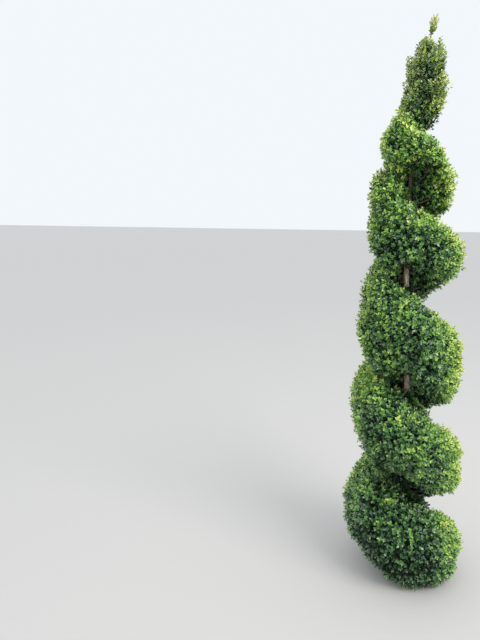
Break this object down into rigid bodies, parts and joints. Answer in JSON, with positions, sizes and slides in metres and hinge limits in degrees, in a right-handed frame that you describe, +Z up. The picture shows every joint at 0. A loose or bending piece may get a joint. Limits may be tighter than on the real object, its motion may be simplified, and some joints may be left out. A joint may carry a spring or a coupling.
{
  "type": "spiral topiary",
  "caption": "Clipped box shrub trained as a rising spiral round one bare trunk, rooted in the ground, with a leafy leader at the tip.",
  "frame": {"origin": "centre of the flat cut through the trunk at ground level", "axes": "+Z up along the trunk, -Y towards the pictured side, +X to the right as seen in the picture"},
  "size_m": [0.5, 0.5019, 2.2095],
  "materials": {
    "bark": "pale tan, finely fissured bark, matt",
    "foliage": "dense small evergreen leaves, mid green with yellow-green new growth, softly glossy"
  },
  "bodies": {
    "root": {"bough_stub_middle_groove": "bark", "bough_under_top": "bark", "coil_1_back_left": "foliage", "coil_1_back_right": "foliage", "coil_1_front_left": "foliage", "coil_1_front_right": "foliage", "coil_2_back_left": "foliage", "coil_2_back_right": "foliage", "coil_2_front_left": "foliage", "coil_2_front_right": "foliage", "coil_3_back_left": "foliage", "coil_3_back_right": "foliage", "coil_3_front_left": "foliage", "coil_3_front_right": "foliage", "coil_4_back_left": "foliage", "coil_4_back_right": "foliage", "coil_4_front_left": "foliage", "coil_4_front_right": "foliage", "coil_5_back_left": "foliage", "coil_5_back_right": "foliage", "coil_5_front_left": "foliage", "coil_5_front_right": "foliage", "coil_6_back_left": "foliage", "leader_tuft": "foliage", "side_shoot": "foliage", "top_back_left": "foliage", "top_back_right": "foliage", "top_front_left": "foliage", "top_front_right": "foliage", "trunk": "bark"}
  },
  "joints": []
}
